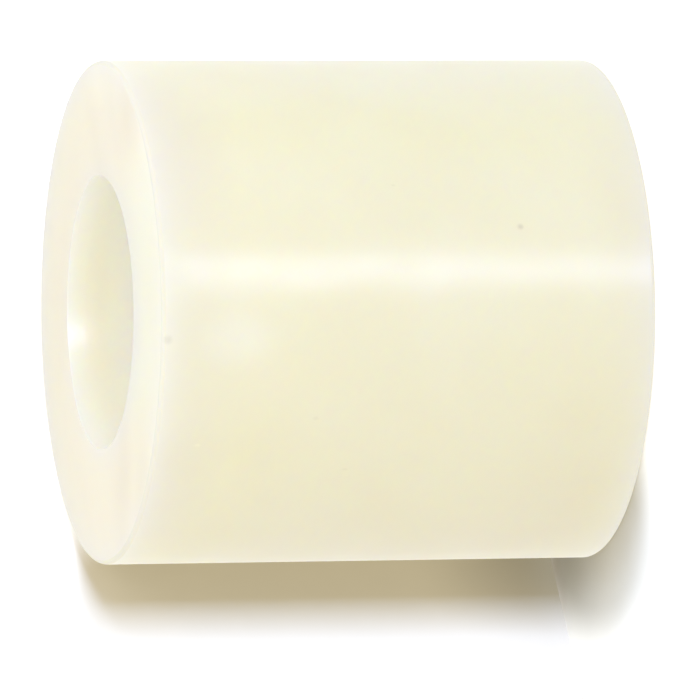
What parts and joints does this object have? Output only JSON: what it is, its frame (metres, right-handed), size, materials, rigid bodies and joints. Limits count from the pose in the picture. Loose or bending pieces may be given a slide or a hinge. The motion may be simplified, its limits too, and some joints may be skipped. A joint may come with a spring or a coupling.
{
  "type": "round spacer",
  "caption": "Short round nylon spacer: a thick-walled tube that slips over a screw and holds two parts a set distance apart.",
  "frame": {"origin": "middle of the lower end face, on the axis of the bore", "axes": "+Z along the bore, from the lower end face to the upper one; X and Y are free, because the spacer is round"},
  "size_m": [0.0126, 0.0126, 0.0127],
  "materials": {
    "nylon": "satin"
  },
  "bodies": {
    "root": {"spacer": "nylon"}
  },
  "joints": []
}
